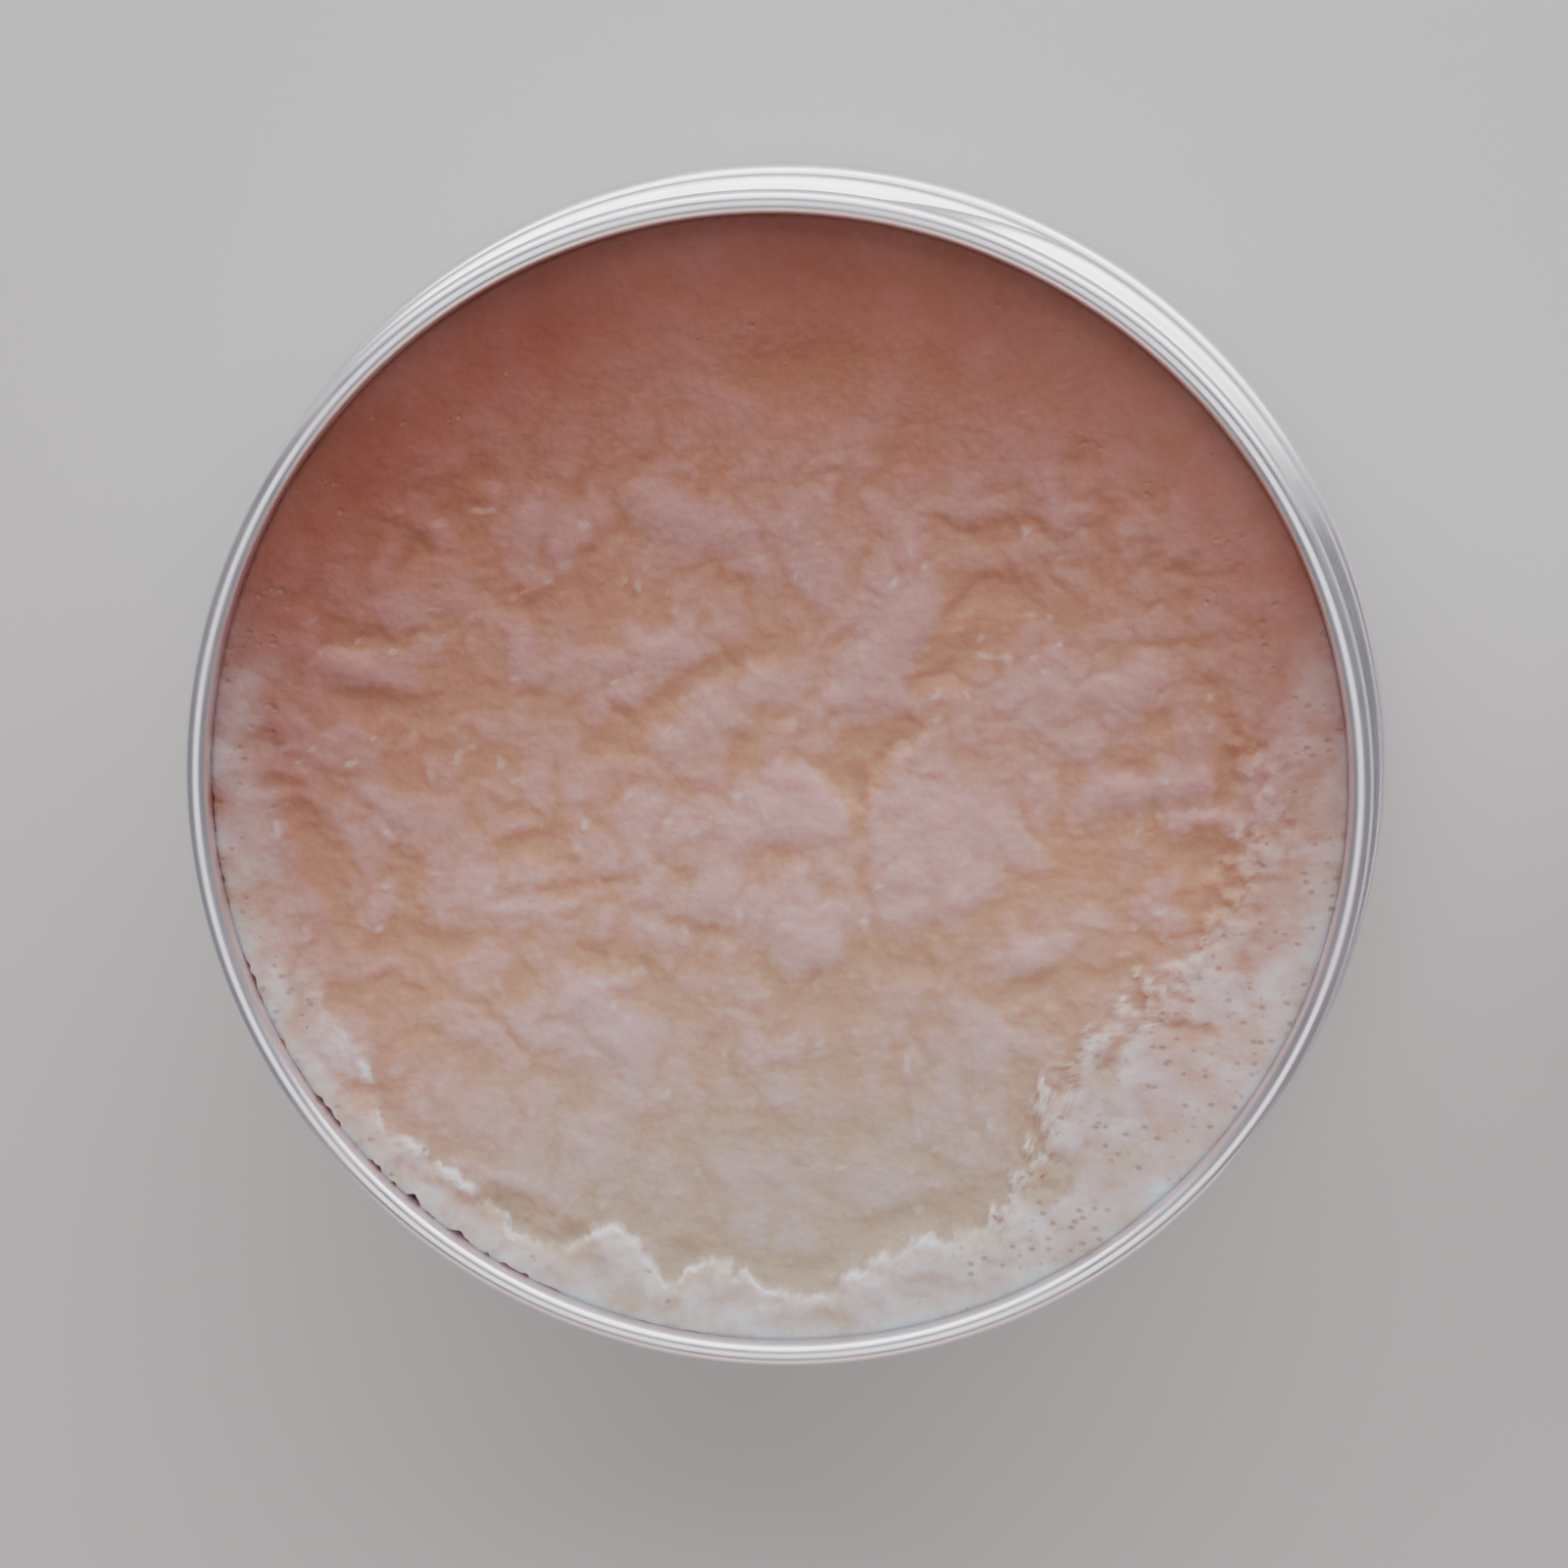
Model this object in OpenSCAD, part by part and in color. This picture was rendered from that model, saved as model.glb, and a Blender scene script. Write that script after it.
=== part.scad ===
// Round screw-top aluminium tin of shoe polish, open.
// The cup stands on its base at the origin, mouth up, filled with solid polish.
// The lid lies beside it on the same surface, turned over, with its liner showing.

/* [Cup] */
// Outer diameter of the straight wall
body_d = 83; // [60:0.5:120]
// Height from the base to the top of the rim bead
cup_h = 26.6; // [24:0.1:60]
// Height of the neck, from the shoulder to the top of the rim bead
neck_h = 11.7; // [11:0.1:13]
// Thickness of the aluminium sheet
sheet = 0.4; // [0.3:0.05:0.5]
// Outside radius of the corner between base and wall
base_corner = 2.8; // [1.5:0.1:4]
// How far the ring pressed into the base and the lid lies inside the straight wall
ring_inset = 7.5; // [6:0.5:15]

/* [Rim and thread] */
// How far the rim bead lies inside the straight wall
bead_inset = 1.8; // [1.6:0.1:2]
// Diameter of the rolled bead's section
bead_roll = 1.6; // [1.4:0.1:1.8]
// How far the neck between the threads lies inside the straight wall
neck_inset = 2.2; // [2.1:0.05:2.3]
// How far the thread's crest lies inside the straight wall
crest_inset = 0.8; // [0.7:0.05:0.9]
// Rise of the thread in one turn
pitch = 3; // [2.8:0.1:3.2]
// Turns of thread on the neck
cup_turns = 1.25; // [1:0.05:1.4]
// Depth of the thread's upper end below the top of the rim
thread_drop = 5.4; // [5:0.1:5.6]

/* [Lid] */
// Outer diameter of the lid's skirt
lid_d = 83.5; // [60.5:0.5:120.5]
// Height of the lid, outside
lid_h = 12.4; // [12:0.1:12.6]
// Outside radius of the corner between top panel and skirt
lid_corner = 1.6; // [1:0.1:2]
// Thickness of the hem folded in at the lid's mouth
hem_roll = 0.9; // [0.8:0.05:0.9]
// Thickness of the foam liner
liner_t = 1; // [0.8:0.1:1.2]
// Clear distance between the cup and the lid beside it
lid_gap = 21.75; // [5:0.25:60]

/* [Polish] */
// Depth of the polish's surface below the top of the rim
polish_drop = 1.7; // [1.7:0.1:4]
// How much lower the surface is at the middle than at the wall
polish_dish = 0.5; // [0:0.1:1.5]

/* [Hidden] */
$fn = 96;

body_r = body_d / 2;
neck_r = body_r - neck_inset;
bead_r = body_r - bead_inset - bead_roll / 2;
bead_z = cup_h - bead_roll / 2;
throat_r = bead_r - sheet;
throat_z = cup_h - thread_drop + 2;
throat_rise = 1;
throat_slope = atan2(neck_r - throat_r, throat_rise);
crest_r = body_r - crest_inset;
shoulder_z = cup_h - neck_h;
shoulder_round = 1.2;
shoulder_fillet = 0.5;

// How far the lid's thread reaches in past the crest of the cup's thread
thread_bite = 0.6;

lid_r = lid_d / 2;
lid_in_r = lid_r - sheet;
lid_x = body_r + lid_gap + lid_r;
lid_crest_r = crest_r - thread_bite;
lid_turns = 1;
liner_r = lid_in_r - lid_corner;

// The lid's thread starts a third of a turn before the cup's, half a pitch lower, when it is closed.
lid_start = -120;
closed_h = cup_h + liner_t + sheet;
lid_thread_z = closed_h - (cup_h - thread_drop) + pitch / 2 + pitch * lid_start / 360;

// How far apart the neighbouring pieces are made
wax_gap = 0.05;

// Half of a vessel's section out to radius r and up to height h, with a rounded lower corner
module vessel_half(r, h, corner) {
    square([r - corner, h]);
    translate([0, corner]) square([r, h - corner]);
    translate([r - corner, corner]) circle(r = corner);
}

// Half of the cup's section, set in by t all round: straight wall, rounded shoulder, neck and
// the narrower throat above the thread, whose upper edge is curled outwards into the bead
module cup_half(t) {
    r = body_r - t;
    round = shoulder_round - t;
    fillet = shoulder_fillet + t;
    neck = neck_r - t;
    throat = throat_r - t;
    top = shoulder_z - t;
    bend_z = throat_z - t * tan(throat_slope / 2);
    translate([0, t]) vessel_half(r, top - round - t, base_corner - t);
    translate([0, top - round - 0.01]) square([r - round, round + 0.01]);
    translate([r - round, top - round]) circle(r = round);
    polygon([
        [0, top - 0.01],
        [neck, top - 0.01],
        [neck, bend_z],
        [throat, bend_z + throat_rise],
        [throat, bead_z],
        [0, bead_z]
    ]);
    difference() {
        translate([neck - 0.01, top - 0.01]) square([fillet + 0.01, fillet + 0.01]);
        translate([neck + fillet, top + fillet]) circle(r = fillet);
    }
}

// Section of a thread ridge: half an ellipse that stands high over a wall, rooted bite deep in it.
// grow shrinks it, so that at both ends of the thread it sinks into the wall.
function ridge_section(half_w, high, bite, grow) = [
    for (i = [0 : 6])
        let (a = -90 + 30 * i)
        [(high + bite) * cos(a) * grow - bite, half_w * sin(a) * (0.4 + 0.6 * grow)]
];

// A ridge wound on a wall of radius r, rising from z0 at angle 0. side is 1 outside, -1 inside.
module thread_ridge(r, z0, turns, side, half_w, high) {
    steps = round(turns * 60);
    fade = 9;
    n = 7;
    points = [
        for (s = [0 : steps])
            let (
                angle = 360 * turns * s / steps,
                z = z0 + pitch * turns * s / steps,
                grow = min(1, 0.1 + min(s, steps - s) / fade)
            )
            for (p = ridge_section(half_w, high, sheet / 2, grow))
                let (reach = r + side * p[0])
                [reach * cos(angle), reach * sin(angle), z + side * p[1]]
    ];
    sides = [
        for (s = [0 : steps - 1], i = [0 : n - 1])
            let (a = s * n + i, b = s * n + (i + 1) % n)
            each [[a, b, a + n], [b, b + n, a + n]]
    ];
    first = [for (i = [n - 1 : -1 : 0]) i];
    last = [for (i = [0 : n - 1]) steps * n + i];
    polyhedron(points, concat(sides, [first, last]));
}

module cup() {
    color([0.80, 0.80, 0.84]) {
        rotate_extrude() {
            difference() {
                cup_half(0);
                cup_half(sheet);
                translate([body_r - ring_inset, 0]) circle(r = sheet / 2);
            }
            // The rim's bead is the sheet curled round, so it is hollow and its cut edge stays open.
            difference() {
                translate([bead_r, bead_z]) circle(r = bead_roll / 2);
                translate([bead_r, bead_z]) circle(r = bead_roll / 2 - sheet);
                translate([throat_r + sheet / 4, bead_z - bead_roll])
                    square([sheet / 2, bead_roll]);
            }
        }
        thread_ridge(neck_r, cup_h - thread_drop - pitch * cup_turns, cup_turns, 1, 1.1,
            crest_r - neck_r);
    }
}

// The cast block of polish fills the cup from its floor to just under the bead.
module polish() {
    color([0.86, 0.76, 0.68])
        rotate_extrude()
            difference() {
                union() {
                    cup_half(sheet + wax_gap);
                    translate([0, sheet]) square([body_r - base_corner - wax_gap, 1]);
                }
                polygon([
                    [0, cup_h - polish_drop - polish_dish],
                    [0, cup_h],
                    [neck_r, cup_h],
                    [neck_r, cup_h - polish_drop],
                    [throat_r - 6, cup_h - polish_drop]
                ]);
            }
}

module lid() {
    color([0.80, 0.80, 0.84]) translate([lid_x, 0, 0]) {
        rotate_extrude() {
            difference() {
                vessel_half(lid_r, lid_h - hem_roll / 2, lid_corner);
                translate([0, sheet]) vessel_half(lid_in_r, lid_h, lid_corner - sheet);
                translate([lid_r - ring_inset, 0]) circle(r = sheet / 2);
            }
            translate([lid_r - hem_roll / 2, lid_h - hem_roll / 2]) circle(r = hem_roll / 2);
        }
        thread_ridge(lid_in_r, lid_thread_z, lid_turns, -1, 0.8, lid_in_r - lid_crest_r);
    }
}

module liner() {
    color([0.95, 0.95, 0.93]) translate([lid_x, 0, sheet]) cylinder(r = liner_r, h = liner_t);
}

cup();
polish();
lid();
liner();
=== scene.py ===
"""An open tin of shoe polish with its screw lid beside it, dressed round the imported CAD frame."""

import math

import bpy
import numpy as np
from mathutils import Matrix, Vector


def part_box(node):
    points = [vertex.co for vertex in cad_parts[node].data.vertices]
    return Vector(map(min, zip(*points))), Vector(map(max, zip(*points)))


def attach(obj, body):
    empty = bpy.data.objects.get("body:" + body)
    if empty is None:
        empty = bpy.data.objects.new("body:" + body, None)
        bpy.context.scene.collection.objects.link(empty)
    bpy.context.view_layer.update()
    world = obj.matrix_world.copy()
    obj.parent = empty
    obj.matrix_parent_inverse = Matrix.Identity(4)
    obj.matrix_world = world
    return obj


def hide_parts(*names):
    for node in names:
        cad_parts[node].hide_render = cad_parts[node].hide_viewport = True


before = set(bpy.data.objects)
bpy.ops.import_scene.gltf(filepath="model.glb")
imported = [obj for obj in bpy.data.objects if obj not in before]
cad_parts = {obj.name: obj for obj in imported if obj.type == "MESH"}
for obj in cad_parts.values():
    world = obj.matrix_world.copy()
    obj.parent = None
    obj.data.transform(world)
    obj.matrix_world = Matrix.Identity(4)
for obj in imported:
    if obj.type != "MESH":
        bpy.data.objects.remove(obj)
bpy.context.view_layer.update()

MM = 0.001

# ---------------------------------------------------------------- sizes, in millimetres

cup_high = np.array(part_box("cup")[1]) / MM
lid_low, lid_high = (np.array(corner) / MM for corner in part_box("lid"))
liner_low, liner_high = (np.array(corner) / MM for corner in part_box("liner"))

# Each thread rises by the pitch in a turn. It has a height out of its wall and a half width.
SHEET = 0.4
PITCH = 3.0
RING_INSET = 7.5

BODY_R = cup_high[0]
RIM_Z = cup_high[2]
BASE_CORNER = 2.8
SHOULDER_Z = RIM_Z - 11.7
SHOULDER_ROUND = 1.2
SHOULDER_FILLET = 0.5
NECK_R = BODY_R - 2.2
BEAD_ROLL_R = 0.8
BEAD_R = BODY_R - 1.8 - BEAD_ROLL_R
BEAD_Z = RIM_Z - BEAD_ROLL_R
THROAT_R = BEAD_R - SHEET
THROAT_Z = RIM_Z - 3.4
CUP_THREAD_TOP = RIM_Z - 5.4
CUP_THREAD_TURNS = 1.25
CUP_THREAD_HIGH = 1.4
CUP_THREAD_HALF = 1.25

LID_X = (lid_low[0] + lid_high[0]) / 2
LID_R = (lid_high[0] - lid_low[0]) / 2
LID_H = lid_high[2]
LID_CORNER = 1.6
LID_THREAD_HIGH = 1.25
LID_THREAD_HALF = 1.0
LID_THREAD_START = 7.3
LID_THREAD_TURNS = 1.0
HEM_R = 0.45
LINER_R = (liner_high[0] - liner_low[0]) / 2

POLISH_R = THROAT_R - SHEET - 0.02
POLISH_LEVEL = 24.35
POLISH_LOWEST, POLISH_HIGHEST = -1.6, 1.45
POLISH_CELLS = 290

METAL_COLUMNS = 480
FOAM_COLUMNS = 300

# ---------------------------------------------------------------- seeded smooth noise


def smooth_noise(x, y, seed):
    """Gradient noise in about -1 to 1, one cell to the unit."""
    dice = np.random.default_rng(seed)
    order = dice.permutation(256)
    lean = dice.random(256) * 2 * math.pi
    x0, y0 = np.floor(x).astype(int), np.floor(y).astype(int)
    fx, fy = x - x0, y - y0

    def corner(i, j):
        a = lean[order[(order[(x0 + i) & 255] + y0 + j) & 255]]
        return np.cos(a) * (fx - i) + np.sin(a) * (fy - j)

    u, v = (f * f * f * (f * (f * 6 - 15) + 10) for f in (fx, fy))
    low = corner(0, 0) * (1 - u) + corner(1, 0) * u
    high = corner(0, 1) * (1 - u) + corner(1, 1) * u
    return 1.5 * (low * (1 - v) + high * v)


def rough_noise(x, y, seed, octaves=3, gain=0.5):
    total = np.zeros_like(x)
    for k in range(octaves):
        total = total + gain**k * smooth_noise(x * 2**k, y * 2**k, seed + k)
    return total


def step(value, start, end):
    t = np.clip((value - start) / (end - start), 0, 1)
    return t * t * (3 - 2 * t)


# ---------------------------------------------------------------- meshes


def add_mesh(name, verts, faces, body, node):
    mesh = bpy.data.meshes.new(name)
    mesh.from_pydata(verts.tolist(), [], faces)
    mesh.validate()
    mesh.update()
    mesh.shade_smooth()
    piece = bpy.data.objects.new(name, mesh)
    bpy.context.scene.collection.objects.link(piece)
    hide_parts(node)
    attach(piece, body)
    return piece


def arc(centre_r, centre_z, radius, start, end, count):
    """Points round a circle in the (radius, height) plane, between two angles in degrees."""
    return [
        (
            centre_r + radius * math.cos(math.radians(start + (end - start) * i / count)),
            centre_z + radius * math.sin(math.radians(start + (end - start) * i / count)),
        )
        for i in range(count + 1)
    ]


def line(start, end, count):
    return [
        (
            start[0] + (end[0] - start[0]) * i / count,
            start[1] + (end[1] - start[1]) * i / count,
        )
        for i in range(1, count)
    ]


def pressed_ring(radius, base_z, up):
    """A shallow ring pressed into a flat panel, as points from the middle outwards."""
    return [
        (radius + 0.25 * k, base_z + up * 0.2 * math.cos(k * math.pi / 6) ** 2)
        for k in range(-3, 4)
    ]


def turned(profile, columns, centre_x, shape):
    """Vertices and faces of a closed profile turned round the Z axis. Its first and last points are
    on the axis. shape(radius, height, angle) returns the radius and height to use."""
    ring = np.arange(columns) * 2 * math.pi / columns
    rows = profile[1:-1]
    verts = [(centre_x, 0, profile[0][1])]
    for radius, height in rows:
        r, z = shape(np.full(columns, radius), np.full(columns, height), ring)
        verts += list(zip(centre_x + r * np.cos(ring), r * np.sin(ring), z))
    verts.append((centre_x, 0, profile[-1][1]))
    faces = []
    last = len(verts) - 1
    for j in range(columns):
        k = (j + 1) % columns
        faces.append((0, 1 + k, 1 + j))
        top = 1 + (len(rows) - 1) * columns
        faces.append((last, top + j, top + k))
        for i in range(len(rows) - 1):
            a = 1 + i * columns
            faces.append((a + j, a + k, a + columns + k, a + columns + j))
    return np.array(verts) * MM, faces


def ridge_wave(height, angle, bottom, turns, half_width):
    """How far up a rolled thread's wave stands at this height and angle, from 0 to 1."""
    wave = np.zeros_like(height)
    for lap in range(math.ceil(turns)):
        along = angle / (2 * math.pi) + lap
        across = (height - bottom - PITCH * along) / half_width
        ends = step(along, 0, 0.09) * step(along, turns, turns - 0.09)
        bump = np.cos(np.clip(across, -1, 1) * math.pi / 2) ** 1.6
        wave = np.maximum(wave, bump * ends)
    return wave


def handling(angle, height, seed):
    """The tiny unevenness of handled thin sheet, in millimetres. It only ever sets the wall in, so
    that the wall stays inside the CAD model's box."""
    x, y = 3 * np.cos(angle), 3 * np.sin(angle)
    return 0.012 * (smooth_noise(x + height / 9, y + 20, seed) - 1.5)


def make_cup():
    throat_foot = THROAT_Z + 1
    bead_meets = BEAD_Z - math.sqrt(BEAD_ROLL_R**2 - SHEET**2)
    round_r, round_z = BODY_R - SHOULDER_ROUND, SHOULDER_Z - SHOULDER_ROUND
    outside = (
        [(0, 0), (12, 0), (24, 0)]
        + pressed_ring(BODY_R - RING_INSET, 0, 1)
        + arc(BODY_R - BASE_CORNER, BASE_CORNER, BASE_CORNER, -90, 0, 10)
        + line((BODY_R, BASE_CORNER), (BODY_R, round_z), 8)
        + arc(round_r, round_z, SHOULDER_ROUND, 0, 90, 8)
        + arc(NECK_R + SHOULDER_FILLET, SHOULDER_Z + SHOULDER_FILLET, SHOULDER_FILLET, 270, 180, 6)
        + line((NECK_R, SHOULDER_Z + SHOULDER_FILLET), (NECK_R, THROAT_Z), 46)
        + line((NECK_R, THROAT_Z), (THROAT_R, throat_foot), 8)
        + [(THROAT_R, throat_foot + 0.1), (THROAT_R, bead_meets - 0.05)]
        + arc(BEAD_R, BEAD_Z, BEAD_ROLL_R, -120, 180, 44)
    )
    inner_r, inner_neck = THROAT_R - SHEET, NECK_R - SHEET
    inside = (
        line((inner_r, BEAD_Z), (inner_r, throat_foot - 0.15), 8)
        + line((inner_r, throat_foot - 0.15), (inner_neck, THROAT_Z - 0.15), 4)
        + line((inner_neck, THROAT_Z - 0.15), (inner_neck, SHOULDER_Z - SHEET), 16)
        + arc(round_r, round_z, SHOULDER_ROUND - SHEET, 90, 0, 4)
        + arc(BODY_R - BASE_CORNER, BASE_CORNER, BASE_CORNER - SHEET, 0, -90, 6)
        + [(20, SHEET), (0, SHEET)]
    )

    def shape(r, z, angle):
        bottom = CUP_THREAD_TOP - PITCH * CUP_THREAD_TURNS
        on_neck = (r > inner_neck - 0.01) & (r < NECK_R + 0.01) & (z > SHOULDER_Z + 0.6)
        wave = ridge_wave(z, angle, bottom, CUP_THREAD_TURNS, CUP_THREAD_HALF)
        r = r + on_neck * CUP_THREAD_HIGH * wave
        r = r + (z > 1) * (z < SHOULDER_Z) * handling(angle, z, 5)
        return r, z

    verts, faces = turned(outside + inside, METAL_COLUMNS, 0, shape)
    return add_mesh("spun_cup", verts, faces, "filled_cup", "cup")


def make_lid():
    inner = LID_R - SHEET
    hem_z = LID_H - HEM_R
    hem_r = LID_R - HEM_R
    outside = (
        [(0, 0), (12, 0), (24, 0)]
        + pressed_ring(LID_R - RING_INSET, 0, 1)
        + arc(LID_R - LID_CORNER, LID_CORNER, LID_CORNER, -90, 0, 10)
        + line((LID_R, LID_CORNER), (LID_R, hem_z - 0.3), 56)
        + arc(hem_r, hem_z, HEM_R, 0, 255, 26)
    )
    inside = (
        [(inner, hem_z - 0.75)]
        + line((inner, hem_z - 0.8), (inner, LID_CORNER), 44)
        + arc(LID_R - LID_CORNER, LID_CORNER, LID_CORNER - SHEET, 0, -90, 6)
        + [(20, SHEET), (0, SHEET)]
    )

    def shape(r, z, angle):
        on_skirt = (r > inner - 0.01) & (z > LID_CORNER) & (z < hem_z - 0.4)
        wave = ridge_wave(z, angle, LID_THREAD_START, LID_THREAD_TURNS, LID_THREAD_HALF)
        r = r - on_skirt * LID_THREAD_HIGH * wave
        r = r + (z > 1) * (z < hem_z - 1) * handling(angle, z, 8)
        return r, z

    verts, faces = turned(outside + inside, METAL_COLUMNS, LID_X, shape)
    return add_mesh("spun_lid", verts, faces, "lined_lid", "lid")


def make_liner():
    low, high = liner_low[2], liner_high[2]
    soft = 0.3
    top = (
        [(LINER_R, low + soft), (LINER_R, high - soft)]
        + arc(LINER_R - soft, high - soft, soft, 0, 90, 5)
        + [(LINER_R - soft - 0.08 * k, high) for k in range(1, 34)]
        + [(r, high) for r in range(36, 0, -1)]
        + [(0, high)]
    )
    profile = [(0, low), (20, low), (LINER_R - 0.3, low)] + top

    def shape(r, z, angle):
        x, y = r * np.cos(angle), r * np.sin(angle)
        press = np.exp(-(((r - BEAD_R + 0.3) / 0.5) ** 2))
        dent = 0.30 * press * (0.85 + 0.3 * smooth_noise(x / 9, y / 9, 21))
        sway = 0.05 * smooth_noise(x / 16, y / 16, 22) + 0.02 * smooth_noise(x / 3, y / 3, 23)
        on_top = z > high - 0.35
        return r, np.where(on_top, z - dent - 0.09 + sway, z)

    verts, faces = turned(profile, FOAM_COLUMNS, LID_X, shape)
    return add_mesh("foam_liner", verts, faces, "lined_lid", "liner")


# ---------------------------------------------------------------- the polish

# The point attribute edge runs from 0 to 1 over this many millimetres across the torn edge.
EDGE_SPAN = 16.0

# The middle has been worked with a cloth and scooped. Round it the cast surface is still smooth.
# Edge of the worked part: direction in degrees, radius, half width of the change, drop at the edge.
WORKED_EDGE = [
    (0, 32.5, 1.3, 0.30),
    (20, 31.0, 3.0, 0.20),
    (45, 28.5, 5.0, 0.15),
    (90, 27.0, 6.0, 0.10),
    (135, 29.5, 5.0, 0.15),
    (160, 33.0, 2.5, 0.20),
    (180, 34.6, 2.0, 0.20),
    (200, 35.0, 1.8, 0.25),
    (213, 34.0, 1.0, 0.35),
    (222, 35.8, 0.5, 0.35),
    (232, 34.8, 0.5, 0.38),
    (240, 35.8, 0.4, 0.40),
    (246, 35.3, 0.4, 0.40),
    (250, 32.4, 0.4, 0.42),
    (254, 32.8, 0.4, 0.42),
    (258, 35.3, 0.4, 0.42),
    (263, 32.9, 0.4, 0.42),
    (269, 34.5, 0.4, 0.42),
    (275, 35.3, 0.4, 0.42),
    (279, 33.8, 0.4, 0.42),
    (287, 32.7, 0.4, 0.42),
    (295, 33.1, 0.5, 0.50),
    (301, 32.2, 0.6, 0.40),
    (310, 28.6, 0.8, 0.35),
    (322, 27.2, 0.9, 0.35),
    (335, 29.5, 1.0, 0.30),
    (348, 31.4, 1.2, 0.30),
]
# Lumps and hollows in the worked part: middle x and y, half length, half width, lean in degrees,
# height or depth.
LUMPS = [
    (6.9, 8.6, 4.6, 1.9, 58, 0.75),
    (10.8, -3.4, 4.6, 4.4, 20, 0.50),
    (1.0, -1.6, 4.3, 3.4, 20, 0.50),
    (3.2, -10.0, 1.9, 2.6, 0, 0.40),
    (-3.5, -7.3, 2.8, 1.5, 10, 0.35),
    (0.6, -9.6, 2.6, 1.6, 96, 0.35),
    (-6.8, 9.6, 3.6, 1.3, 10, 0.35),
    (-3.0, 5.4, 4.0, 1.4, 30, 0.40),
    (-24.0, -2.8, 4.6, 1.8, -22, 0.35),
    (-8.0, 19.0, 2.4, 1.3, -20, 0.30),
    (-1.2, 18.0, 3.0, 1.3, 0, 0.30),
    (-14.5, 17.6, 3.6, 1.3, 8, 0.25),
    (-10.2, -17.6, 3.4, 1.6, 8, 0.45),
    (23.0, 7.0, 3.4, 1.5, 26, 0.35),
    (26.0, 0.6, 3.6, 0.9, 8, 0.50),
    (29.6, -1.5, 3.0, 0.6, 6, 0.50),
    (17.2, -11.0, 2.4, 1.2, 10, 0.40),
    (12.4, -7.2, 0.6, 0.9, 0, 0.45),
    (-12.5, -14.6, 2.8, 1.2, 10, 0.30),
    (-28.2, 7.9, 3.8, 1.0, -16, 0.40),
    (-24.8, 13.0, 2.6, 1.2, -50, 0.30),
    (17.5, 6.0, 4.0, 2.2, 35, 0.30),
    (9.0, 16.5, 2.0, 4.2, -25, 0.25),
    (29.0, -12.2, 3.0, 1.1, -8, 0.35),
    (-18.5, -27.2, 2.6, 0.7, -25, 0.35),
    (24.6, -19.0, 1.2, 1.0, 0, 0.35),
    (19.8, -23.2, 2.0, 0.9, 30, 0.35),
]
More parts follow.
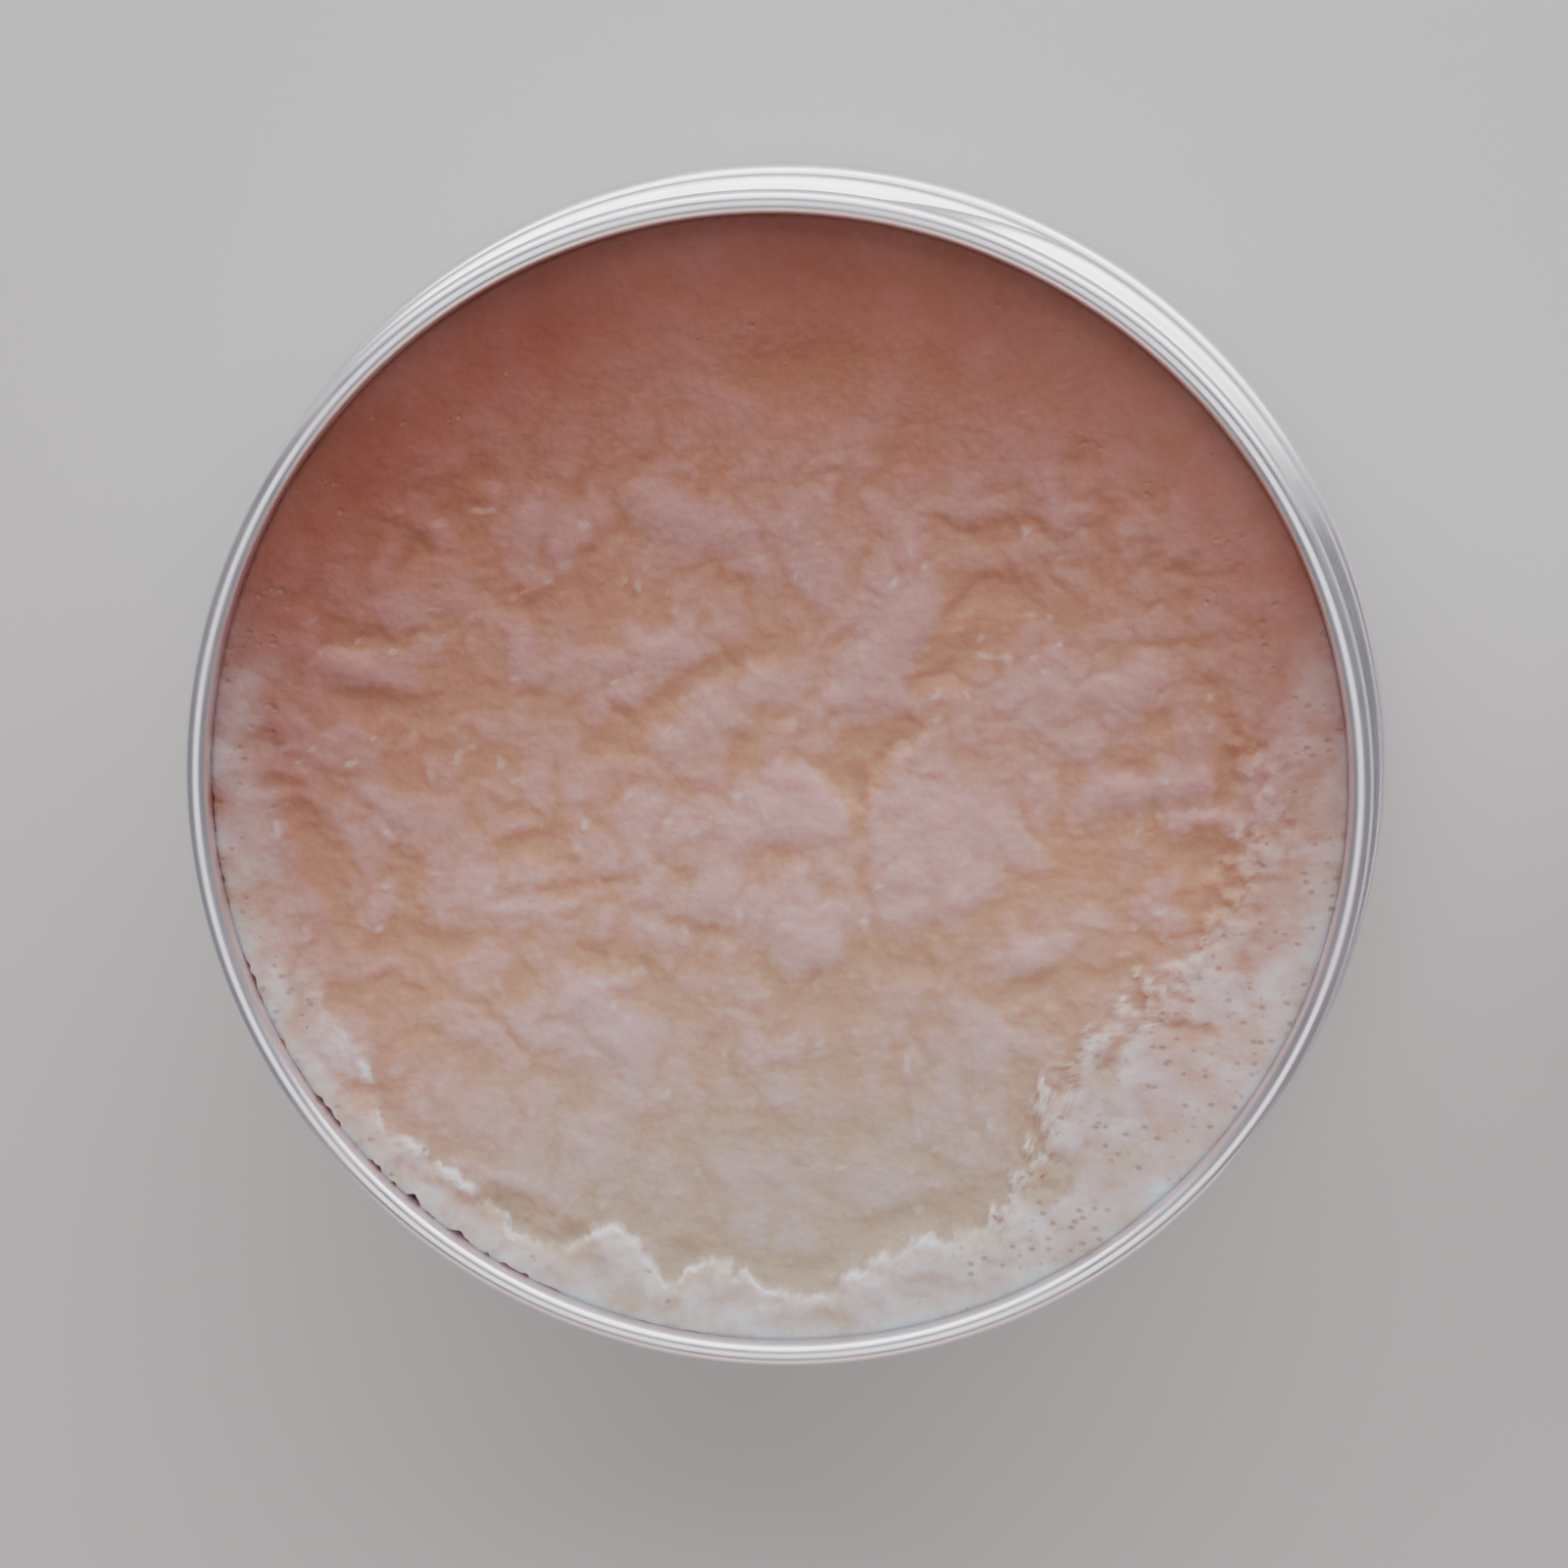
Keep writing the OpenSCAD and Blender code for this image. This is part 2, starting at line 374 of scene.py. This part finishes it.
HOLLOWS = [
    (5.8, 0.5, 1.0, 0.8, 100, 0.70),
    (5.4, 2.6, 2.4, 1.7, 72, 0.60),
    (11.6, 8.5, 2.9, 1.1, 36, 0.55),
    (7.8, 3.2, 2.8, 0.8, 58, 0.40),
    (15.4, 17.3, 2.7, 1.1, 4, 0.35),
    (12.0, 12.2, 1.9, 0.5, 42, 0.35),
    (15.2, 13.2, 2.8, 1.2, -10, 0.30),
    (-5.0, 7.4, 4.6, 0.8, 27, 0.40),
    (-10.0, 3.1, 1.2, 1.7, 20, 0.35),
    (-16.4, -4.1, 3.1, 1.1, 16, 0.45),
    (-26.5, 5.4, 3.4, 1.1, -10, 0.35),
    (-27.2, 9.9, 1.9, 0.9, 4, 0.30),
    (-19.0, 21.0, 1.5, 0.9, -10, 0.30),
    (-20.6, 18.8, 1.5, 0.7, 12, 0.30),
    (-23.8, 16.2, 1.3, 1.1, 40, 0.30),
    (-17.6, 12.4, 2.2, 0.9, -15, 0.30),
    (-12.2, 12.6, 1.2, 1.8, 0, 0.25),
    (-31.6, -4.2, 4.6, 1.1, -62, 0.45),
    (-22.2, -10.8, 2.3, 0.9, 0, 0.35),
    (-27.0, -11.2, 1.4, 0.9, 0, 0.35),
    (-17.4, -13.2, 1.0, 1.3, 0, 0.30),
    (-12.0, -11.8, 0.9, 1.2, 20, 0.30),
    (-9.0, -12.9, 2.0, 1.0, -30, 0.40),
    (-5.6, -9.6, 3.4, 0.6, -14, 0.30),
    (-14.0, -7.2, 4.4, 0.6, 10, 0.30),
    (1.7, -4.4, 2.4, 1.0, 4, 0.50),
    (3.3, -6.2, 1.3, 0.8, -60, 0.30),
    (10.1, -12.2, 1.9, 0.8, -16, 0.50),
    (6.6, -11.3, 1.5, 0.7, -20, 0.30),
    (17.0, -13.3, 3.2, 0.9, 12, 0.35),
    (22.6, -12.4, 3.0, 0.7, 22, 0.30),
    (22.8, -2.1, 2.2, 1.3, 14, 0.38),
    (26.6, 5.2, 2.0, 0.8, 12, 0.30),
    (23.2, 1.6, 1.6, 0.8, -20, 0.20),
    (30.2, 1.3, 2.0, 0.9, 72, 0.55),
    (29.0, -3.9, 2.3, 1.1, 4, 0.50),
    (29.4, -7.9, 2.4, 1.0, 80, 0.40),
    (22.8, -18.2, 2.6, 0.9, 66, 0.50),
    (28.8, -15.9, 1.5, 0.6, -6, 0.60),
    (19.0, -26.3, 2.3, 1.2, 48, 0.65),
    (6.0, -23.6, 2.4, 1.0, 0, 0.25),
    (8.2, -30.0, 3.2, 1.1, 14, 0.35),
    (-28.0, -21.2, 3.3, 0.9, -42, 0.45),
    (-32.2, -16.0, 1.7, 0.8, 84, 0.35),
    (-19.0, -29.8, 4.6, 0.8, -28, 0.55),
    (-13.8, -31.5, 1.3, 0.8, 10, 0.45),
    (-6.3, -32.6, 1.5, 0.9, 80, 0.35),
    (2.0, -33.2, 2.0, 1.0, 0, 0.25),
    (-35.0, 3.0, 1.7, 1.0, 0, 0.30),
    (2.2, 28.6, 5.0, 1.8, 4, 0.25),
    (-12.0, 27.0, 2.4, 1.2, 0, 0.20),
    (10.4, 27.8, 1.6, 1.6, 0, 0.25),
    (20.2, 22.8, 1.4, 1.8, -20, 0.25),
]
# Soft cracks, each a run of points, with its width and depth.
CRACKS = [
    ([(1.6, 2.0), (3.6, 1.2), (5.0, 0.2), (5.8, -0.6)], 0.65, 0.36),
    ([(9.2, 3.8), (7.8, 2.4), (6.6, 0.4), (5.9, -0.6)], 0.65, 0.42),
    ([(5.8, -0.4), (5.4, -2.0), (6.0, -3.8), (5.7, -6.0), (6.8, -8.0)], 0.50, 0.30),
    ([(2.8, -12.6), (1.8, -13.6), (0.7, -14.8)], 0.45, 0.30),
    ([(28.2, -5.0), (29.9, -4.4), (30.6, -6.4)], 0.40, 0.35),
]


def spot(x, y, place):
    """A rounded lump or hollow with fairly steep sides, from 0 to 1."""
    cx, cy, long, wide, lean, _ = place
    a = math.radians(lean)
    u = ((x - cx) * math.cos(a) + (y - cy) * math.sin(a)) / long
    v = ((y - cy) * math.cos(a) - (x - cx) * math.sin(a)) / wide
    return np.exp(-((u * u + v * v) ** 1.3))


def near_path(x, y, points):
    """Distance to a run of points."""
    nearest = np.full_like(x, 1e9)
    for (ax, ay), (bx, by) in zip(points, points[1:]):
        dx, dy = bx - ax, by - ay
        t = np.clip(((x - ax) * dx + (y - ay) * dy) / (dx * dx + dy * dy), 0, 1)
        nearest = np.minimum(nearest, np.hypot(x - ax - t * dx, y - ay - t * dy))
    return nearest


def polish_surface(x, y):
    """Height of the polish above its level at each point, and what its material needs there."""
    radius, turn = np.hypot(x, y), np.degrees(np.arctan2(y, x)) % 360
    table = np.array(WORKED_EDGE).T
    edge, width, drop = (np.interp(turn, table[0], row, period=360) for row in table[1:])
    sharp = step(width, 2.0, 0.6)
    torn = rough_noise(x / 1.6, y / 1.6, 71, 4, 0.6)
    right = step(x, 12, 20)
    # How far out past the edge of the worked part each point lies. cast is 1 outside it.
    past = radius - edge + (0.45 + 1.3 * right) * torn
    width = width + 0.5 * right
    cast = step(past, -width, width)

    # Soft clumps with creases between them, calmer towards the top and the bottom.
    warp = 0.9 * rough_noise(x / 6, y / 6, 41, 2), 0.9 * rough_noise(x / 6, y / 6, 51, 2)
    wx, wy = x + warp[0], y + warp[1]
    clumps = rough_noise(wx / 5.6, wy / 5.2, 62, 4, 0.55)
    folds = rough_noise(wx / 5.0, wy / 5.0, 66, 3, 0.45)
    creases = np.minimum(1.7 * np.sqrt(folds**2 + 0.003), 1) ** 0.8
    calm = 1 - 0.45 * step(-y, 15, 28) - 0.55 * step(y, 18, 28)
    relief = calm * (0.24 * (step(clumps, -0.75, 0.8) - 0.5) + 0.32 * (creases - 0.6))
    fine = rough_noise(x / 1.5, y / 1.4, 64, 3, 0.65)
    mx, my = x + 0.5 * warp[0] + 0.25 * fine, y + 0.5 * warp[1] + 0.2 * torn
    for place in LUMPS:
        relief += place[5] * spot(mx, my, place)
    for place in HOLLOWS:
        relief -= place[5] * spot(mx, my, place)
    for points, wide, depth in CRACKS:
        relief -= 0.8 * depth * np.exp(-((near_path(mx, my, points) / wide) ** 2))
    relief -= 0.45 * drop * sharp * np.exp(-(((past + 1.3) / 1.2) ** 2))

    # The worked part, with loose crumbs on it.
    crumbs = step(smooth_noise(x / 0.95, y / 0.95, 76), 0.42, 0.70) * (1 - cast) * step(y, 24, 14)
    crumbs = crumbs * step(smooth_noise(x / 4, y / 4, 77), 0.0, 0.5)
    grains = 0.03 * fine + 0.06 * crumbs
    bowl = 0.75 * (radius / POLISH_R) ** 2.5 - 0.35
    swell = 0.16 * smooth_noise(wx / 15, wy / 12, 61)
    worked = swell + 0.52 * relief + grains

    # The cast surface outside it, crumbly near the torn lip.
    crumbly = sharp * step(past, 6.5, 0.5) * cast
    plain = drop + 0.08 * smooth_noise(x / 8, y / 8, 72)
    plain += (0.02 + 0.06 * crumbly) * rough_noise(x / 1.4, y / 1.4, 73, 3)
    plain += 0.45 * relief * step(past, 9, 0) + (0.08 + 0.07 * right) * crumbly * torn
    patchy = np.clip(0.35 + 1.5 * smooth_noise(x / 2.4, y / 2.4, 75) + 0.5 * torn, 0, 1)
    lip = sharp * patchy * (1 - 0.6 * right)
    height = bowl + worked * (1 - cast) + plain * cast
    height += 0.12 * lip * np.exp(-(((past - 0.2) / 0.34) ** 2))
    height += 0.05 * step(radius, 36.9, POLISH_R)

    # Torn wax is frosted white; this map also whitens the lower part and the crests, which is
    # painted light. The wax is painted darker under the upper wall as painted shade and lighter
    # away from it as painted light.
    # Low places take the hollow colour, which is partly painted shade, and high places the crest
    # colour.
    tone = 0.5 + 1.6 * (relief * (1 - 0.35 * cast) + 0.5 * swell)
    cloudy = 0.75 + 0.5 * rough_noise(x / 3.5, y / 2.5, 78)
    frost_and_painted_light = crumbly * (0.10 + 0.25 * torn) + 0.55 * cast * step(-y, -6, 26) * cloudy
    frost_and_painted_light *= np.clip(1 + 2 * relief, 0.2, 1.4)
    frost_and_painted_light += 0.14 * step(-y, 6, 36) * cloudy + 0.3 * crumbs
    frost_and_painted_light += 0.32 * step(radius, 32, 37) * step(np.abs(x), 29, 35) * step(y, 15, 4) * cloudy
    # Painted shade: the wax is darker the nearer it lies below the upper wall, a little more on the
    # left; painted light lifts it far from that wall, and a band next to the wall is lightened too
    # as painted light.
    shelter = np.sqrt(np.maximum(POLISH_R**2 - x**2, 0)) - y + 0.12 * x
    painted_light = np.clip(shelter / 42, 0, 1) ** 0.8 + 0.05 * smooth_noise(x / 10, y / 10, 74)
    painted_light += 0.13 * step(radius, 33.5, 37)
    painted_far_light = step(shelter, 38, 72)
    pits = cast * np.maximum(step(-y, -12, 6) * step(x, 8, 18), 0.3 + 0.5 * step(np.abs(x), 24, 34))
    return height, {
        "relief": tone,
        "frost_and_painted_light": frost_and_painted_light,
        "painted_light": painted_light,
        "painted_far_light": painted_far_light,
        "pits": pits,
        "lip": lip,
        "edge": 0.5 + past / EDGE_SPAN,
    }


def disc_grid(count, radius):
    """A square grid bent onto a disc, so that its cells stay even and its edge is a true circle."""
    a = np.linspace(-1, 1, count + 1)
    u, v = np.meshgrid(a, a)
    big = np.maximum(np.abs(u), np.abs(v))
    side = np.abs(u) > np.abs(v)
    safe_u, safe_v = np.where(u == 0, 1, u), np.where(v == 0, 1, v)
    turn = np.where(side, v / safe_u, u / safe_v) * math.pi / 4
    x = np.where(side, np.sign(u) * np.cos(turn), np.sign(v) * np.sin(turn)) * big
    y = np.where(side, np.sign(u) * np.sin(turn), np.sign(v) * np.cos(turn)) * big
    return (radius * x).ravel(), (radius * y).ravel()


def make_polish():
    count = POLISH_CELLS
    x, y = disc_grid(count, POLISH_R)
    height, looks = polish_surface(x, y)
    z = POLISH_LEVEL + np.clip(height, POLISH_LOWEST, POLISH_HIGHEST)

    # Along part of the lower edge the block has shrunk off the wall, raggedly.
    radius, angle = np.hypot(x, y), np.arctan2(y, x)
    gap_zone = np.exp(-(((angle + 2.25) / 0.38) ** 2)) + 0.5 * np.exp(-(((angle + 2.9) / 0.3) ** 2))
    ragged = smooth_noise(angle * 30, angle * 3, 81) + 0.6 * smooth_noise(angle * 75, angle, 82)
    shrink = np.clip(gap_zone * (0.10 + 0.42 * ragged), 0, 0.55)
    pull = 1 - shrink / POLISH_R * step(radius, 36.5, POLISH_R)
    verts = np.stack([x * pull, y * pull, z], axis=1)

    side = count + 1
    index = np.arange(side * side).reshape(side, side)
    faces = [
        (index[i, j], index[i, j + 1], index[i + 1, j + 1], index[i + 1, j])
        for i in range(count)
        for j in range(count)
    ]
    rim = np.concatenate([index[0, :-1], index[:-1, -1], index[-1, :0:-1], index[:0:-1, 0]])
    inner, gap = SHEET + 0.05, 0.05
    wall = [
        (POLISH_R, THROAT_Z + 0.7),
        (NECK_R - inner, THROAT_Z - 0.4),
        (NECK_R - inner, SHOULDER_Z - SHEET),
        (BODY_R - inner - 0.6, SHOULDER_Z - SHEET - gap),
        (BODY_R - inner, SHOULDER_Z - SHOULDER_ROUND),
        (BODY_R - inner, BASE_CORNER),
        (BODY_R - 1.2, 1.2),
        (BODY_R - BASE_CORNER, SHEET),
    ]
    turn = np.arctan2(y[rim], x[rim])
    rings = [rim]
    for r, level in wall:
        start = len(verts)
        ring = np.stack([r * np.cos(turn), r * np.sin(turn), np.full_like(turn, level)], axis=1)
        verts = np.concatenate([verts, ring])
        rings.append(np.arange(start, start + len(rim)))
    for upper, lower in zip(rings, rings[1:]):
        for k in range(len(rim)):
            n = (k + 1) % len(rim)
            faces.append((upper[k], lower[k], lower[n], upper[n]))
    faces.append(tuple(rings[-1][::-1]))
    faces = [tuple(int(i) for i in face) for face in faces]
    piece = add_mesh("wax_polish", verts * MM, faces, "filled_cup", "polish")

    hidden = np.full(len(verts) - len(x), 0.5)
    for name, values in looks.items():
        layer = piece.data.attributes.new(name, "FLOAT", "POINT")
        layer.data.foreach_set("value", np.append(np.clip(values, 0, 1), hidden).astype(np.float32))
    return piece


# ---------------------------------------------------------------- materials


class Nodes:
    """Short calls for building one material's nodes."""

    def __init__(self, name):
        self.material = bpy.data.materials.new(name)
        self.material.use_nodes = True
        self.tree = self.material.node_tree
        self.shader = next(n for n in self.tree.nodes if n.type == "BSDF_PRINCIPLED")

    def set(self, **values):
        for key, value in values.items():
            self.shader.inputs[key.replace("_", " ")].default_value = value

    def add(self, kind, inputs=(), **settings):
        node = self.tree.nodes.new(kind)
        for key, value in settings.items():
            setattr(node, key, value)
        for key, value in dict(inputs).items():
            self.feed(node.inputs[key], value)
        return node

    def feed(self, socket, value):
        if isinstance(value, bpy.types.NodeSocket):
            self.tree.links.new(value, socket)
        else:
            socket.default_value = value

    def math(self, operation, *values):
        node = self.add("ShaderNodeMath", operation=operation)
        for socket, value in zip(node.inputs, values):
            self.feed(socket, value)
        return node.outputs[0]

    def remap(self, value, low, high, to_low, to_high):
        inputs = {"Value": value, 1: low, 2: high, 3: to_low, 4: to_high}
        return self.add("ShaderNodeMapRange", inputs).outputs[0]

    def mix(self, amount, first, second):
        node = self.add("ShaderNodeMix", data_type="RGBA")
        for index, value in ((0, amount), (6, first), (7, second)):
            self.feed(node.inputs[index], value)
        return node.outputs[2]

    def place(self):
        return self.add("ShaderNodeTexCoord").outputs["Object"]

    def noise(self, vector, scale, detail, **more):
        inputs = {"Vector": vector, "Scale": scale, "Detail": detail, **more}
        return self.add("ShaderNodeTexNoise", inputs).outputs["Fac"]

    def bump(self, height, distance, strength):
        inputs = {"Height": height, "Distance": distance, "Strength": strength}
        return self.add("ShaderNodeBump", inputs).outputs[0]


METAL_TINTS = (0.76, 0.71, 0.78, 1), (0.92, 0.88, 0.96, 1)
FOAM_TINTS = (0.80, 0.80, 0.77, 1), (0.97, 0.97, 0.96, 1)
# Wax in the hollows, which are partly painted shade, and on the crests: painted shade under the
# upper wall, painted light away from it, and more painted light at the far side.
HOLLOW_TINTS = (0.225, 0.044, 0.025, 1), (0.56, 0.30, 0.195, 1), (0.52, 0.385, 0.275, 1)
CREST_TINTS = (0.25, 0.056, 0.037, 1), (0.625, 0.385, 0.365, 1), (0.585, 0.455, 0.47, 1)
FROST_TINT = (0.78, 0.75, 0.79, 1)
# Painted shade inside the small pits.
PIT_SHADE_TINT = (0.24, 0.16, 0.10, 1)


def spun_metal(name, centre_x):
    """Satin aluminium with fine streaks running round the axis that it was turned on."""
    n = Nodes(name)
    split = n.add("ShaderNodeSeparateXYZ", {0: n.place()})
    x = n.math("SUBTRACT", split.outputs[0], centre_x)
    y, z = split.outputs[1], split.outputs[2]
    radius = n.math("SQRT", n.math("ADD", n.math("MULTIPLY", x, x), n.math("MULTIPLY", y, y)))

    def streaks(across, around, detail):
        vector = n.add(
            "ShaderNodeCombineXYZ",
            {
                0: n.math("MULTIPLY", radius, across),
                1: n.math("MULTIPLY", z, across),
                2: n.math("MULTIPLY", x, around),
            },
        ).outputs[0]
        turn = n.math("MULTIPLY", y, around)
        inputs = {"Vector": vector, "W": turn, "Scale": 1.0, "Detail": detail}
        return n.add("ShaderNodeTexNoise", inputs, noise_dimensions="4D").outputs["Fac"]

    broad = streaks(1100.0, 12.0, 2.0)
    coarse = streaks(4200.0, 45.0, 2.0)
    fine = streaks(15000.0, 160.0, 1.0)
    both = n.math("ADD", n.math("MULTIPLY", coarse, 0.5), n.math("MULTIPLY", fine, 0.3))
    both = n.math("ADD", both, n.math("MULTIPLY", broad, 0.2))
    clouds = n.noise(n.place(), 130.0, 4.0)
    tint = n.mix(n.remap(both, 0.35, 0.65, 0.0, 1.0), *METAL_TINTS)
    n.feed(n.shader.inputs["Base Color"], tint)
    rough = n.remap(both, 0.35, 0.65, 0.34, 0.24)
    rough = n.math("ADD", rough, n.remap(clouds, 0.3, 0.7, -0.04, 0.08))
    n.feed(n.shader.inputs["Roughness"], rough)
    n.feed(n.shader.inputs["Normal"], n.bump(both, 0.00002, 0.35))
    n.set(Metallic=1.0)
    return n.material


def wax(name):
    """Slightly see-through shoe wax, from deep tan in painted shade to near white in painted light,
    frosted where it was torn.
    """
    n = Nodes(name)
    place = n.place()
    relief, frost_and_painted_light, painted_light, painted_far_light, pits, lip, edge = (
        n.add("ShaderNodeAttribute", attribute_name=key).outputs["Fac"]
        for key in ("relief", "frost_and_painted_light", "painted_light", "painted_far_light", "pits", "lip", "edge")
    )
    mottle = n.noise(place, 320.0, 5.0, Roughness=0.55)
    clouds = n.noise(place, 110.0, 4.0, Roughness=0.6)
    grain = n.noise(place, 2600.0, 2.0)
    granules = n.add("ShaderNodeTexVoronoi", {"Vector": place, "Scale": 1500.0}).outputs["Distance"]

    high = n.math("ADD", relief, n.remap(mottle, 0.3, 0.7, -0.18, 0.18))
    high = n.math("ADD", high, n.remap(clouds, 0.3, 0.7, -0.15, 0.15))
    high = n.math("SUBTRACT", high, n.remap(granules, 0.0, 0.8, -0.10, 0.14))
    high = n.remap(high, 0.15, 0.85, 0.0, 1.0)
    # Hollows, partly painted shade, and crests are each mixed from painted shade under the upper
    # wall to painted light away from it and at the far side.
    hollow = n.mix(painted_far_light, n.mix(painted_light, *HOLLOW_TINTS[:2]), HOLLOW_TINTS[2])
    crest = n.mix(painted_far_light, n.mix(painted_light, *CREST_TINTS[:2]), CREST_TINTS[2])
    colour = n.mix(high, hollow, crest)

    # The torn lip round the worked part is a thin broken line.
    tear = n.noise(place, 900.0, 3.0, Roughness=0.6)
    past = n.math("MULTIPLY_ADD", edge, EDGE_SPAN, -EDGE_SPAN / 2)
    past = n.math("ADD", past, n.remap(tear, 0.3, 0.7, -0.35, 0.25))
    torn = n.math("MULTIPLY", n.remap(n.math("ABSOLUTE", past), 0.05, 0.34, 1.0, 0.0), lip)
    # This map holds real frosting and painted light, and both whiten the wax here.
    white = n.math("MULTIPLY", frost_and_painted_light, n.remap(mottle, 0.35, 0.65, 0.5, 1.0))
    white = n.math("ADD", white, n.math("MULTIPLY", torn, 0.75))
    colour = n.mix(white, colour, FROST_TINT)

    # Small bubbles that were cast in show as pits, dented by the bump and darkened with painted
    # shade.
    squashed = n.add("ShaderNodeMapping", {"Vector": place, "Scale": (1.0, 1.25, 1.0)}).outputs[0]
    cells = n.add("ShaderNodeTexVoronoi", {"Vector": squashed, "Scale": 1050.0})
    chosen = n.math("GREATER_THAN", n.noise(place, 420.0, 2.0), n.remap(pits, 0.2, 1.0, 0.66, 0.47))
    pit = n.math("MULTIPLY", n.remap(cells.outputs["Distance"], 0.12, 0.32, 1.0, 0.0), chosen)
    pit = n.math("MULTIPLY", pit, n.remap(pits, 0.05, 0.3, 0.0, 1.0))
    colour = n.mix(n.math("MULTIPLY", pit, 0.5), colour, PIT_SHADE_TINT)

    n.feed(n.shader.inputs["Base Color"], colour)
    n.feed(n.shader.inputs["Roughness"], n.remap(grain, 0.3, 0.7, 0.45, 0.62))
    surface = n.math("ADD", n.math("MULTIPLY", granules, -0.5), n.math("MULTIPLY", grain, 0.5))
    surface = n.math("ADD", surface, mottle)
    surface = n.math("SUBTRACT", n.math("ADD", surface, torn), n.math("MULTIPLY", pit, 0.8))
    n.feed(n.shader.inputs["Normal"], n.bump(surface, 0.0002, 0.6))
    n.set(Subsurface_Weight=1.0, Subsurface_Radius=(1.0, 0.5, 0.3), Subsurface_Scale=0.0034)
    n.set(IOR=1.44, Specular_IOR_Level=0.4)
    return n.material


def foam(name):
    """White closed-cell foam sheet."""
    n = Nodes(name)
    place = n.place()
    cells = n.add("ShaderNodeTexVoronoi", {"Vector": place, "Scale": 1700.0})
    cloud = n.noise(place, 140.0, 5.0)
    tone = n.math("MULTIPLY", cells.outputs["Distance"], 0.5)
    tone = n.math("ADD", tone, n.math("MULTIPLY", cloud, 0.5))
    colour = n.mix(n.remap(tone, 0.25, 0.7, 0.0, 1.0), *FOAM_TINTS)
    n.feed(n.shader.inputs["Base Color"], colour)
    n.feed(n.shader.inputs["Roughness"], n.remap(cloud, 0.3, 0.7, 0.55, 0.7))
    n.feed(n.shader.inputs["Normal"], n.bump(cells.outputs["Distance"], 0.0002, 0.7))
    n.set(Subsurface_Weight=0.2, Subsurface_Radius=(1.0, 1.0, 1.0), Subsurface_Scale=0.0006)
    return n.material


# ---------------------------------------------------------------- studio


def make_camera():
    """Looks at the mouth of the tin from a little above and to the right of its axis."""
    above, right, distance = math.radians(9.77), math.radians(4.79), 0.240
    back = Vector((math.tan(right), math.tan(above), 1)).normalized()
    across = Vector((0, 1, 0)).cross(back).normalized()
    up = back.cross(across)
    data = bpy.data.cameras.new("camera")
    data.sensor_width = 36
    data.lens = 83
    data.shift_x = 0.0086
    data.shift_y = 0.0071
    data.clip_start = 0.01
    camera = bpy.data.objects.new("camera", data)
    turn = Matrix((across, up, back)).transposed().to_4x4()
    camera.matrix_world = Matrix.Translation(Vector((0, 0, RIM_Z * MM)) + back * distance) @ turn
    bpy.context.scene.collection.objects.link(camera)
    bpy.context.scene.camera = camera


def add_light(name, place, aim, size, size_y, power, colour):
    data = bpy.data.lights.new(name, "AREA")
    data.shape = "RECTANGLE"
    data.size, data.size_y = size, size_y
    data.energy = power
    data.color = colour
    light = bpy.data.objects.new(name, data)
    light.location = place
    light.rotation_euler = (Vector(aim) - Vector(place)).to_track_quat("-Z", "Y").to_euler()
    light.visible_camera = False
    bpy.context.scene.collection.objects.link(light)


def make_studio():
    add_light("key", (0.05, 0.55, 0.19), (0, 0, 0.02), 1.6, 0.2, 6.4, (1.0, 0.98, 0.96))
    add_light("box", (0.05, 0.50, 0.42), (0, 0, 0.02), 1.3, 0.32, 3.5, (1.0, 0.99, 0.99))
    add_light("bounce", (0.0, -0.55, 0.18), (0, 0, 0.02), 1.0, 0.3, 1.2, (1.0, 0.72, 0.60))
    add_light("top", (-0.05, -0.13, 0.75), (0, 0, 0), 0.52, 0.52, 1.5, (1.0, 0.99, 1.0))

    floor = bpy.data.meshes.new("floor")
    reach = 8.0
    floor.from_pydata(
        [(-reach, -reach, 0), (reach, -reach, 0), (reach, reach, 0), (-reach, reach, 0)],
        [],
        [(0, 1, 2, 3)],
    )
    ground = bpy.data.objects.new("floor", floor)
    ground.location = (0, 0, -0.0001)
    bpy.context.scene.collection.objects.link(ground)
    n = Nodes("studio_floor")
    n.set(Base_Color=(0.60, 0.59, 0.58, 1), Roughness=0.7)
    floor.materials.append(n.material)

    world = bpy.data.worlds.new("studio")
    world.use_nodes = True
    world.node_tree.nodes["Background"].inputs[0].default_value = (0.80, 0.82, 0.86, 1)
    world.node_tree.nodes["Background"].inputs[1].default_value = 0.28
    bpy.context.scene.world = world


# ---------------------------------------------------------------- build

make_camera()
make_studio()
make_cup().data.materials.append(spun_metal("spun_aluminium_cup", 0.0))
make_polish().data.materials.append(wax("pale_polish"))
make_lid().data.materials.append(spun_metal("spun_aluminium_lid", LID_X * MM))
make_liner().data.materials.append(foam("liner_foam"))
